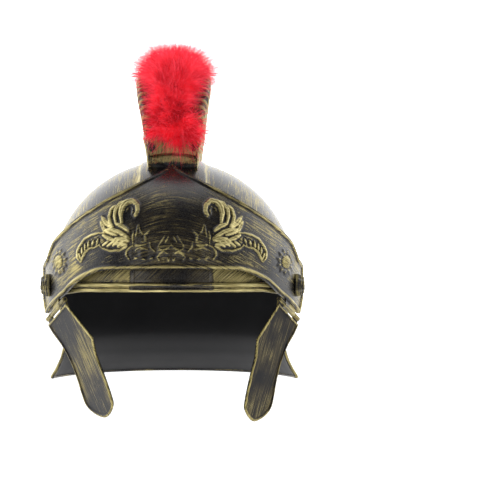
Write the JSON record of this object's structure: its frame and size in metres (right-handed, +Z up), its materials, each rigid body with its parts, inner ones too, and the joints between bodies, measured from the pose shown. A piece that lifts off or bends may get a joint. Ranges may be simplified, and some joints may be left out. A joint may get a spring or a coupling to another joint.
{
  "type": "roman legionary helmet",
  "caption": "Antique gold over black costume helmet with red fur plume, ribbed crest holder, ornate tilting visor, hinged cheek guards and flared neck guard.",
  "frame": {"origin": "inner apex of the dome, where the helmet sits on the top of a head", "axes": "+Z up, -Y out of the front over the brow, +X towards the wearer's left"},
  "size_m": [0.2284, 0.2995, 0.3218],
  "materials": {
    "shell_plastic": "black plastic with dry-brushed antique gold paint",
    "visor_plastic": "black plastic with dry-brushed antique gold paint",
    "crest_plastic": "black plastic with dry-brushed antique gold paint",
    "red_fur": "long soft fur",
    "guard_plastic": "black plastic with dry-brushed antique gold paint",
    "pin_plastic": "gold painted",
    "screw_steel": "plain metal"
  },
  "bodies": {
    "helmet": {"shell": "shell_plastic", "crest_holder": "crest_plastic", "plume": "red_fur", "pivot_screw_left": "screw_steel", "pivot_screw_right": "screw_steel"},
    "visor": {"visor": "visor_plastic", "hinge_pin_left": "pin_plastic", "hinge_pin_right": "pin_plastic"},
    "cheek_left": {"cheek_guard_left": "guard_plastic"},
    "cheek_right": {"cheek_guard_right": "guard_plastic"}
  },
  "joints": [
    {"name": "visor_tilt", "type": "hinge", "parent": "helmet", "child": "visor", "pos_m": [0, -0.045, -0.107], "axis": [1, 0, 0], "range_deg": [0, 20]},
    {"name": "cheek_left_swing", "type": "hinge", "parent": "visor", "child": "cheek_left", "pos_m": [0.0981, -0.0589, -0.1272], "axis": [0.3513, 0.8608, -0.3683], "range_deg": [-99, 19]},
    {"name": "cheek_right_swing", "type": "hinge", "parent": "visor", "child": "cheek_right", "pos_m": [-0.0981, -0.0589, -0.1272], "axis": [0.3513, -0.8608, 0.3683], "range_deg": [-107, 11]}
  ]
}
